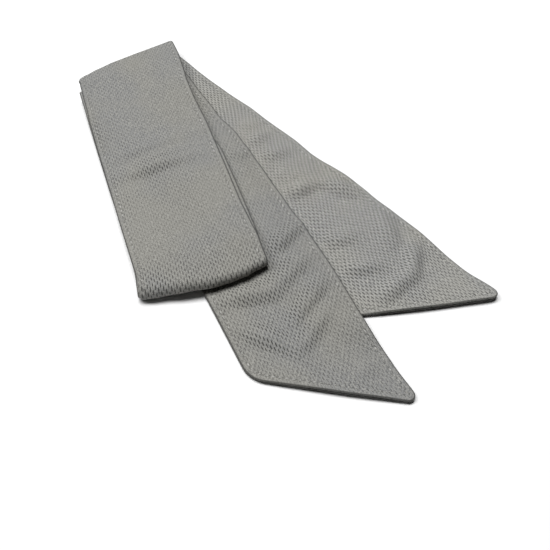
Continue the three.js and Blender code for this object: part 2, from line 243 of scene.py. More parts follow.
# Soft folds: middle at shares of the run's length and of the width, turned from square to the run in
# degrees, half length and half width as shares of the width, height as a share of the fold height
Fold = namedtuple("Fold", "at across turn half spread height")
SOFT_FOLDS = {
    "near_tail": [
        Fold(0.717, 0.12, -20, 0.14, 0.12, 0.4),
        Fold(0.68, 0.11, -7, 0.3, 0.12, 0.6),
        Fold(0.421, 0.25, -24, 0.46, 0.1, 1.1),
        Fold(0.339, 0.69, 18, 0.36, 0.13, 1.2),
        Fold(0.348, 0.33, -23, 0.35, 0.12, 0.8),
        Fold(0.27, 0.33, -31, 0.38, 0.1, 1),
        Fold(0.215, 0.4, -33, 0.34, 0.11, 0.9),
        Fold(0.239, 0.73, 48, 0.36, 0.12, 1),
        Fold(0.104, 0.19, -8, 0.15, 0.1, 0.3),
    ],
    "hidden_run": [],
    "top_run": [
        Fold(0.536, 0.47, -4, 0.7, 0.1, 0.35),
        Fold(0.45, 0.56, 0, 0.58, 0.12, 0.85),
        Fold(1, 1, 0, 0.24, 0.3, -1.2),
    ],
    "far_tail": [
        Fold(0.317, 0.18, -16, 0.18, 0.08, 0.6),
        Fold(0.362, 0.27, -4, 0.26, 0.09, 0.9),
        Fold(0.422, 0.28, -16, 0.3, 0.1, 0.9),
        Fold(0.492, 0.34, -31, 0.22, 0.1, 0.35),
        Fold(0.535, 0.43, -14, 0.32, 0.11, 1.4),
        Fold(0.592, 0.15, -68, 0.32, 0.11, 1.3),
        Fold(0.736, 0.2, 56, 0.3, 0.13, 1),
        Fold(0.686, 0.55, -28, 0.28, 0.1, 0.8),
        Fold(0.762, 0.63, -34, 0.32, 0.1, 0.9),
        Fold(0.7, 0.35, 0, 0.6, 0.55, 0.4),
        Fold(0.821, 0.27, 36, 0.27, 0.11, 1.5),
        Fold(0.838, 0.54, -2, 0.32, 0.11, 1.4),
        Fold(0.985, 0.05, -35, 0.4, 0.3, 0.4),
    ],
}

# Camera: where the front fold's long-edge corner lies from the point that the camera looks at
VIEW_TO_CORNER = (-4.35 * MM, 3.55 * MM)
VIEW_DISTANCE = 392.4 * MM
VIEW_ELEVATION = math.radians(55.9)
SENSOR = 36.0
PICTURE = 550
FOCAL_PIXELS = 700


def direction(angle):
    return np.array([math.cos(angle), math.sin(angle)])


def smooth(value):
    share = np.clip(value, 0, 1)
    return share * share * (3 - 2 * share)


def bump(value):
    return np.where(np.abs(value) < 1, (1 + np.cos(np.pi * np.clip(value, -1, 1))) / 2, 0)


def rest_on_support(height):
    """Eases a height that would dip below its support to a smooth touch."""
    lifted = np.maximum(height, 0)
    return lifted * lifted / (lifted + CONTACT_SOFTNESS)


def make_run(name, start, heading, length, side, start_line=None, end_line=None):
    """A run lies on the table as a straight frame; side is 1 where the front panel faces up."""
    along = direction(heading)
    across = direction(heading + side * math.pi / 2)
    slope = lambda line: 0 if line is None else line.dot(along) / line.dot(across)
    return {
        "name": name,
        "start": np.array(start, float),
        "along": along,
        "across": across,
        "length": length,
        "start_slope": slope(start_line),
        "end_slope": slope(end_line),
    }


def eased(rows, column, place):
    """Column of a table at places of its first column, eased from row to row."""
    stops = np.array([row[0] for row in rows], float)
    values = np.array([getattr(row, column) for row in rows], float)
    place = np.clip(place, stops[0], stops[-1])
    after = np.clip(np.searchsorted(stops, place), 1, len(stops) - 1)
    part = smooth((place - stops[after - 1]) / (stops[after] - stops[after - 1]))
    return values[after - 1] + (values[after] - values[after - 1]) * part


def outline_at(run, a):
    """How far inwards the long edge lies, and how many times its width the cloth is wide there."""
    rows = OUTLINES[run["name"]]
    share = np.asarray(a) / run["length"]
    return eased(rows, "inward", share) * WIDTH, 1 + eased(rows, "wider", share)


def to_table(run, a, t):
    """Places on the table of points given along and across a run."""
    inward, stretch = outline_at(run, a)
    across = np.asarray(t) * stretch + inward
    return run["start"] + np.multiply.outer(a, run["along"]) + np.multiply.outer(across, run["across"])


def to_run(run, point):
    """How far along and across a run the points on the table lie."""
    offset = point - run["start"]
    a = offset @ run["along"]
    inward, stretch = outline_at(run, a)
    return a, (offset @ run["across"] - inward) / stretch


def lay_runs():
    """The four runs, each from the corner where it leaves the run before; the top run starts the frame."""
    square = TOP_RUN_HEADING + math.pi / 2
    outer_line = direction(square + OUTER_FOLD_SKEW)
    front_line = direction(square + FRONT_FOLD_SKEW)
    inner_line = direction(square + INNER_FOLD_SKEW)
    cut_slope = 1 / math.tan(END_ANGLE)
    top = make_run("top_run", (0, 0), TOP_RUN_HEADING, TOP_RUN_LENGTH, 1, front_line, outer_line)
    outer_corner = to_table(top, TOP_RUN_LENGTH, 0)
    far_heading = TOP_RUN_HEADING + 2 * OUTER_FOLD_SKEW + math.pi
    far = make_run("far_tail", outer_corner, far_heading, FAR_TAIL_LENGTH, -1, outer_line)
    far["end_slope"] = -cut_slope
    inner_corner = to_table(top, HIDDEN_RUN_LENGTH, -HIDDEN_RUN_SLIP)
    hidden_heading = TOP_RUN_HEADING + math.pi
    hidden = make_run(
        "hidden_run", inner_corner, hidden_heading, HIDDEN_RUN_LENGTH, -1, inner_line, front_line
    )
    near_heading = TOP_RUN_HEADING + NEAR_TAIL_TURN
    near = make_run("near_tail", inner_corner, near_heading, NEAR_TAIL_LENGTH, 1, None, inner_line)
    inward, _ = outline_at(near, NEAR_TAIL_LENGTH)
    near["start"] = inner_corner - near["along"] * NEAR_TAIL_LENGTH - near["across"] * inward
    near["start_slope"] = cut_slope
    return {run["name"]: run for run in (near, hidden, top, far)}


RUNS = lay_runs()


def fold_out(fold, t):
    """How far a fold line stands out from its straight course, across the cloth."""
    return FOLD_BOW * eased(FOLD_BOWS[fold], "out", t / WIDTH) if fold in FOLD_BOWS else 0 * t


def cover(run, point, sides, start, end):
    """1 over a run and just beside it, falling to 0 over the given lengths past its sides and its ends."""
    a, t = to_run(run, point)
    fade = lambda distance, length: 1 - smooth((distance - EDGE_MARGIN) / length)
    past_side = np.maximum(-t, t - WIDTH)
    start_line = run["start_slope"] * t - fold_out(START_FOLD.get(run["name"]), t)
    end_line = run["length"] + run["end_slope"] * t + fold_out(END_FOLD.get(run["name"]), t)
    past_start = (start_line - a) / math.hypot(1, run["start_slope"])
    past_end = (a - end_line) / math.hypot(1, run["end_slope"])
    return fade(past_side, sides) * fade(past_start, start) * fade(past_end, end)


def underlay(name, point, fall):
    """1 over a run that lies below, falling to 0 over one length on all sides."""
    return cover(RUNS[name], point, fall, fall, fall)


def soft_fold_height(run, a, t):
    height = np.zeros(np.shape(a))
    for fold in SOFT_FOLDS[run["name"]]:
        da = a - fold.at * run["length"]
        dt = t - fold.across * WIDTH
        cos = math.cos(math.radians(fold.turn))
        sin = math.sin(math.radians(fold.turn))
        endwise = (dt * cos + da * sin) / (fold.half * WIDTH)
        sideways = (da * cos - dt * sin) / (fold.spread * WIDTH)
        height = height + fold.height * FOLD_HEIGHT * bump(endwise) * bump(sideways)
    return height


def bare_relief(run, point):
    a, t = to_run(run, point)
    arch = CROWN * np.sin(np.pi * np.clip(t / WIDTH, 0, 1))
    return rest_on_support(arch + soft_fold_height(run, a, t))


def exposure(name, point):
    """0 under a run, rising to 1 beside it."""
    return 1 - cover(RUNS[name], point, EXPOSURE_FADE, EXPOSURE_FADE, EXPOSURE_FADE)


def front_puff(point):
    """How far the top run stands up over its front fold, more so at the short edge."""
    a, t = to_run(RUNS["top_run"], point)
    height = LONG_EDGE_PUFF + (FRONT_PUFF - LONG_EDGE_PUFF) * np.clip(t / WIDTH, 0, 1)
    return height * bump(np.maximum(0, a) / FRONT_PUFF_REACH)


def far_tail_height(point):
    bare = np.minimum(exposure("near_tail", point), exposure("top_run", point))
    return CLOTH_THICKNESS / 2 + bare * bare_relief(RUNS["far_tail"], point)


def near_tail_height(point):
    support = LAYER_STEP * underlay("far_tail", point, DRAPE)
    relief = exposure("top_run", point) * bare_relief(RUNS["near_tail"], point)
    return CLOTH_THICKNESS / 2 + support + relief


def hidden_run_height(point):
    support = underlay("far_tail", point, HIDDEN_DRAPE) + underlay("near_tail", point, DRAPE)
    return CLOTH_THICKNESS / 2 + LAYER_STEP * support


def top_run_height(point):
    a, t = to_run(RUNS["top_run"], point)
    near = cover(RUNS["near_tail"], point, TOP_DRAPE, TOP_DRAPE, BRIDGE)
    hidden = cover(RUNS["hidden_run"], point, TOP_DRAPE, BRIDGE, TOP_DRAPE)
    layers = underlay("far_tail", point, TOP_DRAPE) + near + hidden
    relief = soft_fold_height(RUNS["top_run"], a, t)
    return CLOTH_THICKNESS / 2 + LAYER_STEP * layers + front_puff(point) + relief


HEIGHTS = {
    "far_tail": far_tail_height,
    "near_tail": near_tail_height,
    "hidden_run": hidden_run_height,
    "top_run": top_run_height,
}


def cut_distance(run, a, t):
    """Distance from the run's cut end, or a large one where it has none."""
    inset = a if run["name"] == "near_tail" else run["length"] - a
    if run["name"] not in ("near_tail", "far_tail"):
        return np.full(np.shape(a), FAR_OFF)
    return inset * math.sin(END_ANGLE) - t * math.cos(END_ANGLE)


def round_corners(run, a, t):
    """Pulls the two corners of a cut end onto their roundings."""
    at_start = run["name"] == "near_tail"
    if run["name"] not in ("near_tail", "far_tail"):
        return a, t
    inset = a if at_start else run["length"] - a
    cut_normal = np.array([-math.sin(END_ANGLE), math.cos(END_ANGLE)])
    for radius, edge, opening in ((POINT_RADIUS, 0, END_ANGLE), (BLUNT_RADIUS, WIDTH, math.pi - END_ANGLE)):
        inwards = 1 if edge == 0 else -1
        edge_normal = np.array([0, -inwards])
        centre_t = edge + inwards * radius
        centre = np.array([(radius + centre_t * math.cos(END_ANGLE)) / math.sin(END_ANGLE), centre_t])
        offset = np.stack([inset, t], -1) - centre
        distance = np.maximum(np.linalg.norm(offset, axis=-1), ROUNDING * MM)
        to_edge = np.arccos(np.clip(offset @ edge_normal / distance, -1, 1))
        to_cut = np.arccos(np.clip(offset @ cut_normal / distance, -1, 1))
        inside = to_edge + to_cut <= math.pi - opening + ROUNDING
        pull = np.where(inside, np.cos(np.minimum(to_edge, to_cut)), 1)
        rounded = centre + offset * pull[..., None]
        inset, t = rounded[..., 0], rounded[..., 1]
    return (inset if at_start else run["length"] - inset), t


def rim_columns():
    """Places of the mesh columns across the cloth, closer together over each hem."""
    rim = [step * MM for step in RIM_STEPS]
    count = round((WIDTH - 2 * rim[-1]) / COLUMN_STEP)
    middle = [rim[-1] + (WIDTH - 2 * rim[-1]) * i / count for i in range(1, count)]
    return np.array(rim + middle + [WIDTH - step for step in reversed(rim)])


COLUMNS = rim_columns()


def cloth_points(run, a, t):
    """Points on the middle of the cloth, between its two panels."""
    table = to_table(run, a, t)
    height = HEIGHTS[run["name"]](table)
    return np.concatenate([table, height[..., None]], -1)


def stations(run, step):
    """Where the sections of a run start on its long edge."""
    fine = [rim * MM / math.sin(END_ANGLE) for rim in RIM_STEPS]
    first = fine if run["name"] == "near_tail" else [0.0]
    insets = reversed(fine) if run["name"] == "far_tail" else [0.0]
    last = [run["length"] - inset for inset in insets]
    count = max(1, round((last[0] - first[-1]) / step))
    middle = [first[-1] + (last[0] - first[-1]) * i / count for i in range(1, count)]
    return np.array(first + middle + last)


def run_sections(run, step):
    """Grids of a run: plain points for the normals, shaped ones with round corners, and measures."""
    a = stations(run, step)
    reach = min(SKEW_REACH, run["length"] / 2)
    near_start = 1 - smooth(a / reach)
    near_end = 1 - smooth((run["length"] - a) / reach)
    slope = run["start_slope"] * near_start + run["end_slope"] * near_end
    grid_t = np.broadcast_to(COLUMNS, (len(a), len(COLUMNS)))
    by_start = 1 - smooth(a[:, None] / FOLD_BOW_REACH)
    by_end = 1 - smooth((run["length"] - a[:, None]) / FOLD_BOW_REACH)
    start_bow = fold_out(START_FOLD.get(run["name"]), COLUMNS) * by_start
    end_bow = fold_out(END_FOLD.get(run["name"]), COLUMNS) * by_end
    grid_a = a[:, None] + slope[:, None] * grid_t + end_bow - start_bow
    shaped_a, shaped_t = round_corners(run, grid_a, grid_t)
    gape_and_shade = np.full(grid_a.shape, GAPE_AND_SHADE[run["name"]])
    if run["name"] == "top_run":
        gape_and_shade = gape_and_shade + FRONT_GAPE_AND_SHADE * (1 - smooth(grid_a / FRONT_GAPE_REACH))
    return {
        "plain": cloth_points(run, grid_a, grid_t),
        "shaped": cloth_points(run, shaped_a, shaped_t),
        "cut": cut_distance(run, grid_a, grid_t),
        "gape_and_shade": gape_and_shade,
        "along": grid_a,
    }


def loop_sections(run, before, after, count):
    """The loop of cloth at a fold, from the last section of one run to the first of the next."""
    start = before["plain"][-1]
    end = after["plain"][0]
    line = start[-1, :2] - start[0, :2]
    outward = np.array([-line[1], line[0]]) / np.linalg.norm(line)
    outward = outward * math.copysign(1, outward @ run["along"])
    share = np.arange(1, count)[:, None] / count
    turn = np.pi * share
    rise = (end[:, 2] - start[:, 2])[None, :]
    radius = np.abs(rise) / 2
    flat = start[None, :, :2] * (1 - share[..., None]) + end[None, :, :2] * share[..., None]
    flat = flat + (radius * np.sin(turn))[..., None] * outward
    height = (start[:, 2] + end[:, 2])[None, :] / 2 - rise / 2 * np.cos(turn)
    points = np.concatenate([flat, height[..., None]], -1)
    far = np.full(height.shape, FAR_OFF)
    gape_and_shade = before["gape_and_shade"][-1] * (1 - share) + after["gape_and_shade"][0] * share
    return {"plain": points, "shaped": points, "cut": far, "gape_and_shade": gape_and_shade}


def loop_lengths(before, loop, after):
    """Length of each column through the loop of a fold, from run to run."""
    path = np.concatenate([before["plain"][-1:], loop["plain"], after["plain"][:1]])
    return np.linalg.norm(np.diff(path, axis=0), axis=-1).sum(0)


def lay_knit(near, inner, hidden, front, top, outer, far):
    """Adds the distance along the whole strip, which keeps the knit square to each run that shows.

    The hidden run takes up what the skewed folds leave over.
    """
    through_inner = loop_lengths(near, inner, hidden)
    through_front = loop_lengths(hidden, front, top)
    through_outer = loop_lengths(top, outer, far)
    hidden_start = near["along"][-1] + through_inner
    top["along"] = top["along"] + hidden_start[0] + hidden["along"][-1, 0] + through_front[0]
    hidden_end = top["along"][0] - through_front
    share = (hidden["along"] - hidden["along"][0]) / (hidden["along"][-1] - hidden["along"][0])
    hidden["along"] = hidden_start + (hidden_end - hidden_start) * share
    far["along"] = far["along"] + top["along"][-1, 0] + through_outer[0]
    for before, loop, after in ((near, inner, hidden), (hidden, front, top), (top, outer, far)):
        count = len(loop["plain"]) + 1
        share = np.arange(1, count)[:, None] / count
        loop["along"] = before["along"][-1] * (1 - share) + after["along"][0] * share


def folded_cloth():
    """The grids of the whole strip, from the near point to the far tail's end."""
    near = run_sections(RUNS["near_tail"], SECTION_STEP)
    hidden = run_sections(RUNS["hidden_run"], HIDDEN_STEP)
    top = run_sections(RUNS["top_run"], SECTION_STEP)
    far = run_sections(RUNS["far_tail"], SECTION_STEP)
    inner = loop_sections(RUNS["near_tail"], near, hidden, LOOP_STEPS["inner"])
    front = loop_sections(RUNS["hidden_run"], hidden, top, LOOP_STEPS["front"])
    outer = loop_sections(RUNS["top_run"], top, far, LOOP_STEPS["outer"])
    parts = (near, inner, hidden, front, top, outer, far)
    lay_knit(*parts)
    return {key: np.concatenate([part[key] for part in parts]) for key in near}


def measure_cloth(cloth):
    """Adds the normals, the edge distances and the places across the cloth to the folded grid."""
    plain = cloth["plain"]
    ahead = np.gradient(plain, axis=0)
    aside = np.gradient(plain, axis=1)
    normal = np.cross(ahead, aside)
    cloth["normal"] = normal / np.linalg.norm(normal, axis=-1, keepdims=True)
    cloth["across"] = np.broadcast_to(COLUMNS, cloth["along"].shape)
    side = np.minimum(COLUMNS, WIDTH - COLUMNS)[None, :]
    cloth["edge"] = np.minimum(side, cloth["cut"])
    # On steep cloth the pits open further and take more painted shade, as if light reached less far into
    # them
    steep = smooth((1 - np.abs(cloth["normal"][..., 2])) / STEEP_SHARE)
    cloth["gape_and_shade"] = cloth["gape_and_shade"] + (STEEP_GAPE_AND_SHADE - cloth["gape_and_shade"]) * steep
    return cloth


def crumple(cloth):
    """Small waves of the cloth and its hems, too slight to change its outline."""
    wave = 0.16 * MM
    length = 17 * MM
    hem_wave = 0.16 * MM
    hem_length = 9 * MM
    hem_reach = 5 * MM
    hem_waves_across = 4
    wave_slice = 3.7
    hem_slice = 9.1
    rows, columns = cloth["along"].shape
    lift = np.zeros((rows, columns))
    for i in range(rows):
        for j in range(columns):
            s = cloth["along"][i, j]
            t = cloth["across"][i, j]
            near_rim = math.exp(-((cloth["edge"][i, j] / hem_reach) ** 2))
            body = noise.noise(Vector((s / length, t / length, wave_slice)))
            hem = noise.noise(Vector((s / hem_length, t / WIDTH * hem_waves_across, hem_slice)))
            lift[i, j] = wave * body + hem_wave * near_rim * hem
    return lift


def outer_offset(edge, along):
    """How far the outer face stands off the middle of the cloth: a round lip, a hem, a seam, the body."""
    lip = 0.8 * MM
    lip_share = 0.6
    body_share = 0.9
    hem_end = 2.2 * MM
    groove = 0.2 * MM
    groove_width = 0.75 * MM
    loosening = 0.25
    inset = 1 - np.clip(edge / lip, 0, 1)
    rounded = lip_share + (1 - lip_share) * np.sqrt(1 - inset * inset)
    past_hem = smooth((edge - SEAM_INSET) / hem_end)
    full = rounded * (1 - (1 - body_share) * past_hem)
    pulled = np.exp(-(((edge - SEAM_INSET) / groove_width) ** 2))
    tight = 1 - loosening + loosening * np.cos(2 * np.pi * along / STITCH_PITCH)
    return PANEL_GAP / 2 + PANEL_THICKNESS * full - groove * pulled * tight


def inner_offset(edge):
    """The inner face curls away from the other panel at the very edge."""
    lip = 0.9 * MM
    curl_share = 0.22
    curl = (1 - np.clip(edge / lip, 0, 1)) ** 2
    return PANEL_GAP / 2 + curl_share * PANEL_THICKNESS * curl


def face_points(cloth, offset):
    """The cloth's middle moved out along its normals, with its small waves."""
    return cloth["shaped"] + cloth["normal"] * (cloth["lift"] + offset)[..., None]


def add_object(name, data):
    made = bpy.data.objects.new(name, data)
    bpy.context.scene.collection.objects.link(made)
    return made


def cloth_mesh(name, cloth, side):
    """A panel as one closed skin between its inner and outer faces, none of it below the table."""
    rows, columns = cloth["along"].shape
    inner = face_points(cloth, side * inner_offset(cloth["edge"]))
    outer = face_points(cloth, side * outer_offset(cloth["edge"], cloth["along"]))
    vertices = np.concatenate([inner.reshape(-1, 3), outer.reshape(-1, 3)])
    vertices[:, 2] = np.maximum(vertices[:, 2], 0)
    index = np.arange(rows * columns).reshape(rows, columns)
    below = index
    above = index + rows * columns
    quads = [
        np.stack([above[:-1, :-1], above[1:, :-1], above[1:, 1:], above[:-1, 1:]], -1).reshape(-1, 4),
        np.stack([below[:-1, :-1], below[:-1, 1:], below[1:, 1:], below[1:, :-1]], -1).reshape(-1, 4),
        np.stack([below[:-1, 0], below[1:, 0], above[1:, 0], above[:-1, 0]], -1),
        np.stack([above[:-1, -1], above[1:, -1], below[1:, -1], below[:-1, -1]], -1),
        np.stack([above[0, :-1], above[0, 1:], below[0, 1:], below[0, :-1]], -1),
        np.stack([below[-1, :-1], below[-1, 1:], above[-1, 1:], above[-1, :-1]], -1),
    ]
    faces = np.concatenate(quads)
    if side < 0:
        faces = faces[:, ::-1]
    mesh = bpy.data.meshes.new(name)
    mesh.from_pydata(vertices.tolist(), [], faces.tolist())
    mesh.polygons.foreach_set("use_smooth", np.ones(len(faces), bool))
    add_cloth_maps(mesh, cloth, faces)
    mesh.update()
    return add_object(name, mesh), outer


def add_cloth_maps(mesh, cloth, faces):
    """Map "cloth" holds along and across, map "seam" the place on the nearest seam and the edge distance."""
    along, across, edge, cut, gape_and_shade = [
        np.tile(cloth[key].ravel(), 2) for key in ("along", "across", "edge", "cut", "gape_and_shade")
    ]
    corner = faces.ravel()
    side = np.minimum(across, WIDTH - across)
    at_cut = np.repeat(np.mean(cut[faces] - side[faces], axis=1) < 0, 4)
    on_seam = np.where(at_cut, across[corner] / math.sin(END_ANGLE), along[corner])
    maps = {"cloth": (along[corner], across[corner]), "seam": (on_seam, edge[corner])}
    for name, coordinates in maps.items():
        layer = mesh.uv_layers.new(name=name)
        layer.data.foreach_set("uv", (np.stack(coordinates, -1) * MAP_UNITS_PER_METRE).ravel())
    mesh.attributes.new("gape_and_shade", "FLOAT", "POINT").data.foreach_set("value", gape_and_shade)


class Graph:
    """Short calls for the nodes of one material."""

    def __init__(self, name):
        self.material = bpy.data.materials.new(name)
        self.material.use_nodes = True
        self.tree = self.material.node_tree
        self.tree.nodes.clear()

    def node(self, kind, **settings):
        made = self.tree.nodes.new(kind)
        for key, value in settings.items():
            setattr(made, key, value)
        return made

    def feed(self, socket, value):
        if isinstance(value, bpy.types.NodeSocket):
            self.tree.links.new(value, socket)
        else:
            socket.default_value = value

    def math(self, operation, *values):
        """A sum or the like of numbers and sockets; the operation is named as in Blender."""
        made = self.node("ShaderNodeMath", operation=operation)
        for socket, value in zip(made.inputs, values):
            self.feed(socket, value)
        return made.outputs[0]

    def product(self, first, *others):
        for other in others:
            first = self.math("MULTIPLY", first, other)
        return first

    def length(self, first, second, power=2.0):
        """Distance from two offsets; a power above 2 on the first makes its shape more of a slot."""
        squares = self.math("ADD", self.math("POWER", first, power), self.math("POWER", second, 2.0))
        return self.math("SQRT", squares)

    def ramp(self, value, low, high, to_low=0.0, to_high=1.0):
        """Eases from one value to another while the input goes from low to high, which may be the lesser."""
        made = self.node("ShaderNodeMapRange", interpolation_type="SMOOTHSTEP")
        names = ("Value", "From Min", "From Max", "To Min", "To Max")
        for name, given in zip(names, (value, low, high, to_low, to_high)):
            self.feed(made.inputs[name], given)
        return made.outputs[0]

    def mix(self, share, first, second):
        made = self.node("ShaderNodeMix", data_type="RGBA")
        self.feed(made.inputs["Factor"], share)
        self.feed(made.inputs[6], first)
        self.feed(made.inputs[7], second)
        return made.outputs[2]

    def scaled(self, colour, share):
        made = self.node("ShaderNodeVectorMath", operation="SCALE")
        self.feed(made.inputs[0], colour)
        self.feed(made.inputs["Scale"], share)
        return made.outputs[0]

    def uv(self, name):
        """The two coordinates of the named map, in millimetres."""
        split = self.node("ShaderNodeSeparateXYZ")
        self.feed(split.inputs[0], self.node("ShaderNodeUVMap", uv_map=name).outputs[0])
        return [self.product(split.outputs[i], MM_PER_MAP_UNIT) for i in range(2)]

    def noise(self, vector, scale, detail=2.0):
        made = self.node("ShaderNodeTexNoise")
        self.feed(made.inputs["Vector"], vector)
        self.feed(made.inputs["Scale"], scale)
        self.feed(made.inputs["Detail"], detail)
        return made.outputs[0]

    def bump(self, height, strength, distance, normal=None):
        made = self.node("ShaderNodeBump")
        self.feed(made.inputs["Strength"], strength)
        self.feed(made.inputs["Distance"], distance)
        self.feed(made.inputs["Height"], height)
        if normal is not None:
            self.feed(made.inputs["Normal"], normal)
        return made.outputs[0]

    def surface(self, colour, roughness, normal, sheen=0.0):
        shader = self.node("ShaderNodeBsdfPrincipled")
        self.feed(shader.inputs["Base Color"], colour)
        self.feed(shader.inputs["Roughness"], roughness)
        self.feed(shader.inputs["Normal"], normal)
        shader.inputs["Specular IOR Level"].default_value = 0.25
        shader.inputs["Sheen Weight"].default_value = sheen
        shader.inputs["Sheen Roughness"].default_value = 0.5
        output = self.node("ShaderNodeOutputMaterial")
        self.feed(output.inputs["Surface"], shader.outputs[0])
        return self.material


def pit_field(g, u, v):
    """1 in each elongated pit of one of the two staggered grids of the knit, 0 between them."""
    slot = 4.0
    soft_middle = 0.15
    along = g.product(g.math("SUBTRACT", g.math("FRACT", u), 0.5), 2 * KNIT_ALONG / PIT_LENGTH)
    across = g.product(g.math("SUBTRACT", g.math("FRACT", v), 0.5), 2 * KNIT_ACROSS / PIT_WIDTH)
    return g.ramp(g.length(along, across, slot), 1.0, soft_middle)


def knit_pits(g, u, v, place, edge):
    """The pits of the mesh, worn here and there, closing at the hem, and opening deeper and darker with
    painted shade where the cloth is steep.
    """
    staggered = pit_field(g, g.math("ADD", u, 0.5), g.math("ADD", v, 0.5))
    pit = g.math("MAXIMUM", pit_field(g, u, v), staggered)
    worn = g.ramp(g.noise(place, 420.0, 1.0), 0.25, 0.75, 0.7, 1.1)
    hem = g.ramp(edge, 0.5, 4.0, 0.55, 1.0)
    gape_and_shade = g.node("ShaderNodeAttribute", attribute_name="gape_and_shade").outputs["Fac"]
    uneven = g.ramp(g.noise(place, 40.0, 1.0), 0.3, 0.7, 0.85, 1.2)
    return g.math("MINIMUM", g.product(pit, worn, hem, gape_and_shade, uneven), 1.0)


def needle_holes(g, phase, edge):
    """1 in each needle hole of the topstitching, 0 between them."""
    hole_radius = 0.6
    hole_middle = 0.15
    pitch = STITCH_PITCH / MM
    past_middle = g.math("SUBTRACT", g.math("FRACT", g.math("DIVIDE", phase, pitch)), 0.5)
    along = g.product(g.math("SUBTRACT", 0.5, g.math("ABSOLUTE", past_middle)), pitch)
    across = g.math("SUBTRACT", edge, SEAM_INSET / MM)
    return g.ramp(g.length(along, across), hole_radius, hole_middle)


def knit_colour(g, place, edge, yarn, pit, hole):
    """Grey yarn in warm and cool patches, darkened with painted shade in the pits and holes and along the
    rim of the panel.
    """
    patch = g.noise(place, 20.0, 2.0)
    colour = g.mix(g.ramp(patch, 0.35, 0.65), KNIT_WARM, KNIT_COOL)
    colour = g.mix(g.ramp(yarn, 0.46, 0.64, 0.0, 0.9), colour, KNIT_LIGHT)
    colour = g.mix(g.ramp(yarn, 0.46, 0.3, 0.0, 0.6), colour, DARK_YARN_AND_SHADE)
    # Painted shade darkens the pits
    colour = g.mix(g.product(pit, 0.9), colour, DARK_YARN_AND_SHADE)
    # Painted shade along the rim: darkest on the lip just inside each edge, a little less on the walls
    rim = g.product(g.ramp(edge, 1.1, 0.45), g.ramp(edge, 0.02, 0.15, 0.7, 1.0))
    colour = g.mix(g.product(rim, 0.75), colour, PAINTED_RIM_SHADE)
    # Painted shade darkens the needle holes
    return g.mix(g.product(hole, 0.45), colour, DARK_YARN_AND_SHADE)


def knit_material(face):
    """Bird's-eye mesh: staggered pits between wales, a plain hem, needle holes along the seam."""
    wale_height = 0.08
    g = Graph(f"knit_{face}")
    s, t = g.uv("cloth")
    phase, edge = g.uv("seam")
    place = g.node("ShaderNodeTexCoord").outputs["Object"]
    u = g.math("DIVIDE", s, KNIT_ALONG / MM)
    v = g.math("DIVIDE", t, KNIT_ACROSS / MM)
    pit = knit_pits(g, u, v, place, edge)
    hole = needle_holes(g, phase, edge)
    wale = g.math("COSINE", g.product(v, 4 * math.pi))
    yarn = g.noise(place, 2000.0, 3.0)
    fuzz = g.noise(place, 4200.0, 2.0)
    # The back face comes out brighter, partly its own tone and partly painted light
    colour = g.scaled(knit_colour(g, place, edge, yarn, pit, hole), FACE_TONE_AND_LIGHT[face])
    normal = g.bump(g.math("SUBTRACT", g.product(wale, wale_height), pit), 1.0, 0.45 * MM)
    normal = g.bump(g.product(hole, -1.0), 0.7, 0.35 * MM, normal)
    normal = g.bump(yarn, 0.8, 0.25 * MM, normal)
    normal = g.bump(fuzz, 0.5, 0.08 * MM, normal)
    return g.surface(colour, 0.92, normal, sheen=0.06)


def thread_material():
    """Matt sewing thread with a slight twist."""
    g = Graph("sewing_thread")
    place = g.node("ShaderNodeTexCoord").outputs["Object"]
    twist = g.ramp(g.noise(place, 420.0, 2.0), 0.35, 0.65)
    colour = g.mix(twist, THREAD_DARK, THREAD_LIGHT)
    return g.surface(colour, 0.8, g.bump(twist, 0.4, 0.1 * MM))


def column_at(across):
    return np.interp(across, COLUMNS, np.arange(len(COLUMNS)))


def stitches_between(begin, stop):
    """Both ends and the middle of each stitch that fits between two places on a seam."""
    first = math.ceil(begin / STITCH_PITCH)
    last = math.floor(stop / STITCH_PITCH)
    middles = [(k + 0.5) * STITCH_PITCH for k in range(first, last)]
    return [[middle + part * STITCH_LENGTH / 2 for part in (-1, 0, 1)] for middle in middles]


def side_seam(cloth, across, first_row, last_row):
    """Stitches along a long side, each as three (row, column) places on the grid."""
    rows = np.arange(len(cloth["along"]))
    column = column_at(across)
    along = sample(cloth["along"][..., None], rows, np.full(len(rows), column))[:, 0]
    begin, stop = np.interp((first_row, last_row), rows, along)
    stitches_here = stitches_between(begin, stop)
    return [[(np.interp(at, along, rows), column) for at in stitch] for stitch in stitches_here]


def end_seam(row):
    """Stitches along a cut end, each as three (row, column) places on the grid."""
    into_point = 0.6  # share of the way from the tip to where the seams cross that is left free
    sine = math.sin(END_ANGLE)
    begin = into_point * SEAM_INSET / math.tan(END_ANGLE / 2)
    stop = WIDTH / sine - SEAM_INSET * math.tan(END_ANGLE / 2)
    return [[(row, column_at(at * sine)) for at in stitch] for stitch in stitches_between(begin, stop)]


def seam_paths(cloth):
    """The stitches of all four seams."""
    sections = stations(RUNS["near_tail"], SECTION_STEP)
    first = np.interp(SEAM_INSET / math.sin(END_ANGLE), sections, np.arange(len(sections)))
    last = len(cloth["along"]) - 1 - first
    sides = [side_seam(cloth, across, first, last) for across in (SEAM_INSET, WIDTH - SEAM_INSET)]
    return sides[0] + sides[1] + end_seam(first) + end_seam(last)


def sample(grid, row, column):
    """Values of a grid at fractional rows and columns."""
    short_of_last = 1.0001  # keeps i + 1 and j + 1 inside the grid
    row = np.clip(np.asarray(row, float), 0, grid.shape[0] - short_of_last)
    column = np.clip(np.asarray(column, float), 0, grid.shape[1] - short_of_last)
    i = row.astype(int)
    j = column.astype(int)
    u = (row - i)[..., None]
    v = (column - j)[..., None]
    near = grid[i, j] * (1 - v) + grid[i, j + 1] * v
    far = grid[i + 1, j] * (1 - v) + grid[i + 1, j + 1] * v
    return near * (1 - u) + far * u


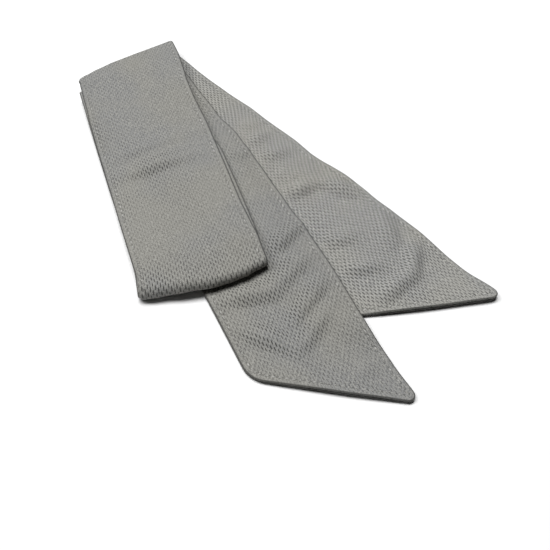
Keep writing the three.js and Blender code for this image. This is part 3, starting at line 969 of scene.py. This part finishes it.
def stitch_rings(anchors, normal):
    """Rings of points round one stitch: a low arched bead of thread, its ends in the needle holes."""
    sink = 0.3 * MM
    rise = 0.16 * MM
    thin_end = 0.35
    chord = anchors[2] - anchors[0]
    sideways = np.cross(normal, chord / np.linalg.norm(chord))
    rings = []
    for i in range(STITCH_STEPS + 1):
        share = i / STITCH_STEPS
        arch = math.sin(math.pi * share)
        centre = anchors[0] * (1 - share) + anchors[2] * share
        centre = centre + normal * (rise * arch - sink * (1 - arch))
        radius = STITCH_RADIUS * (thin_end + (1 - thin_end) * math.sqrt(arch))
        for k in range(STITCH_SIDES):
            turn = 2 * math.pi * k / STITCH_SIDES
            rings.append(centre + radius * (math.cos(turn) * sideways + math.sin(turn) * normal))
    return rings


def bead_faces(base):
    """Faces of one bead whose first point has the number given: its sides, then its two ends."""
    faces = []
    for i in range(STITCH_STEPS):
        low = base + i * STITCH_SIDES
        high = low + STITCH_SIDES
        for k in range(STITCH_SIDES):
            after = (k + 1) % STITCH_SIDES
            faces.append((low + k, low + after, high + after, high + k))
    top = base + STITCH_STEPS * STITCH_SIDES
    faces.append(tuple(base + k for k in reversed(range(STITCH_SIDES))))
    faces.append(tuple(top + k for k in range(STITCH_SIDES)))
    return faces


def stitches(name, cloth, outer, side, paths):
    """Topstitching of one face, none of it below the table."""
    vertices = []
    faces = []
    for path in paths:
        rows = [place[0] for place in path]
        columns = [place[1] for place in path]
        normal = sample(cloth["normal"], rows[1:2], columns[1:2])[0] * side
        faces += bead_faces(len(vertices))
        vertices += stitch_rings(sample(outer, rows, columns), normal / np.linalg.norm(normal))
    mesh = bpy.data.meshes.new(name)
    mesh.from_pydata([(x, y, max(z, 0)) for x, y, z in vertices], [], faces)
    mesh.polygons.foreach_set("use_smooth", [True] * len(faces))
    mesh.update()
    return add_object(name, mesh)


def middle_shift(cloth):
    """From the strip's own frame to that of the CAD panels, whose footprint has its middle at the origin."""
    stand_off = PANEL_GAP / 2 + PANEL_THICKNESS
    faces = np.concatenate([face_points(cloth, side * stand_off).reshape(-1, 3) for side in (1, -1)])
    middle = (faces.min(0) + faces.max(0)) / 2
    cad_middle = [(low + high) / 2 for low, high in zip(cad_low, cad_high)]
    return np.array([cad_middle[0] - middle[0], cad_middle[1] - middle[1], 0])


def dress():
    """Both panels and their topstitching, moved to stand where the CAD panels are."""
    cloth = measure_cloth(folded_cloth())
    cloth["lift"] = crumple(cloth)
    shift = middle_shift(cloth)
    cloth["plain"] = cloth["plain"] + shift
    cloth["shaped"] = cloth["shaped"] + shift
    thread = thread_material()
    paths = seam_paths(cloth)
    for face, side in (("front", 1), ("back", -1)):
        panel, outer = cloth_mesh(f"{face}_cloth", cloth, side)
        panel.data.materials.append(knit_material(face))
        seams = stitches(f"topstitch_{face}", cloth, outer, side, paths)
        seams.data.materials.append(thread)
        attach(panel, "root")
        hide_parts(f"{face}_panel")
        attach(seams, "root")
    return shift


def add_camera(corner):
    """The photo's camera, from where the front fold's long-edge corner lies; gives what it looks at."""
    target = Vector((corner[0] - VIEW_TO_CORNER[0], corner[1] - VIEW_TO_CORNER[1], 0))
    data = bpy.data.cameras.new("camera")
    data.sensor_width = SENSOR
    data.lens = SENSOR * FOCAL_PIXELS / PICTURE
    camera = add_object("camera", data)
    away = Vector((0, -math.cos(VIEW_ELEVATION), math.sin(VIEW_ELEVATION)))
    camera.location = target + away * VIEW_DISTANCE
    camera.rotation_euler = (-away).to_track_quat("-Z", "Y").to_euler()
    bpy.context.scene.camera = camera
    return target


def add_floor():
    half = FLOOR_SIZE / 2
    mesh = bpy.data.meshes.new("floor")
    corners = [(-half, -half, 0), (half, -half, 0), (half, half, 0), (-half, half, 0)]
    mesh.from_pydata(corners, [], [(0, 1, 2, 3)])
    floor = add_object("floor", mesh)
    floor.location.z = -FLOOR_DROP
    g = Graph("pale_floor")
    shader = g.node("ShaderNodeBsdfPrincipled")
    shader.inputs["Base Color"].default_value = FLOOR_COLOUR
    shader.inputs["Roughness"].default_value = 0.8
    g.feed(g.node("ShaderNodeOutputMaterial").inputs["Surface"], shader.outputs[0])
    mesh.materials.append(g.material)


def add_lights(target):
    """Round soft lamps that face the target, in a faintly lit world."""
    for lamp in LAMPS:
        data = bpy.data.lights.new(lamp.name, "AREA")
        data.shape = "DISK"
        data.size = lamp.size
        data.energy = lamp.power
        light = add_object(lamp.name, data)
        light.location = lamp.place
        light.rotation_euler = (target - Vector(lamp.place)).to_track_quat("-Z", "Y").to_euler()
    world = bpy.data.worlds.new("studio")
    world.use_nodes = True
    world.node_tree.nodes["Background"].inputs["Color"].default_value = (1, 1, 1, 1)
    world.node_tree.nodes["Background"].inputs["Strength"].default_value = WORLD_STRENGTH
    bpy.context.scene.world = world
    bpy.context.scene.view_settings.view_transform = "Standard"


shift = dress()
target = add_camera(shift[:2])
add_floor()
add_lights(target)
